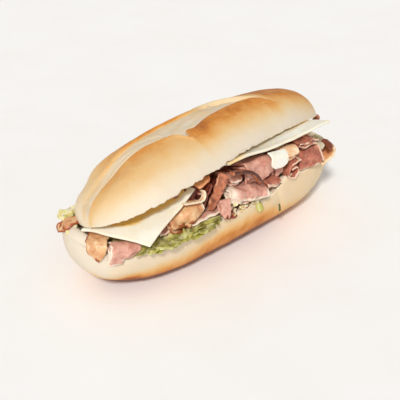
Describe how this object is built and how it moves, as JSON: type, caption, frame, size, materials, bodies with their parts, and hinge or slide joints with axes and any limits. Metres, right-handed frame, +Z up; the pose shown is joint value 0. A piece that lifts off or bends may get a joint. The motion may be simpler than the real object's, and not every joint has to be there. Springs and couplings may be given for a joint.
{
  "type": "submarine sandwich",
  "caption": "Split white sub roll propped open in front around folded ham, turkey and beef slices, sliced white cheese and shredded lettuce.",
  "frame": {"origin": "middle of the flat base the heel stands on, under the middle of the roll", "axes": "+X along the roll, +Z up, the open side faces -Y"},
  "size_m": [0.2178, 0.0953, 0.087],
  "materials": {
    "crust": null,
    "ham": "moist pink ham slice with paler fat edges",
    "turkey": "moist pale roast turkey slice with browned, peppered edges",
    "beef": "moist dark roast beef slice",
    "cheese": "smooth ivory cheese slice, slightly waxy and a little translucent",
    "lettuce": "thin crisp yellow-green leaf"
  },
  "bodies": {
    "root": {"beef_arch": "beef", "beef_end": "beef", "beef_layer": "beef", "beef_low": "beef", "beef_strip_1": "beef", "beef_strip_2": "beef", "beef_strip_3": "beef", "cheese_corner": "cheese", "cheese_left": "cheese", "cheese_right": "cheese", "crown": "crust", "ham_big": "ham", "ham_drape": "ham", "ham_fold": "ham", "ham_frill": "ham", "ham_layer": "ham", "ham_low": "ham", "ham_mid": "ham", "ham_roll": "ham", "ham_sheet": "ham", "ham_tongue": "ham", "ham_under": "ham", "ham_upper": "ham", "heel": "crust", "lettuce_bed": "lettuce", "lettuce_tuft": "lettuce", "turkey_brown": "turkey", "turkey_curl": "turkey", "turkey_end": "turkey", "turkey_large": "turkey", "turkey_loop": "turkey", "turkey_sliver": "turkey", "turkey_tongue": "turkey"}
  },
  "joints": []
}
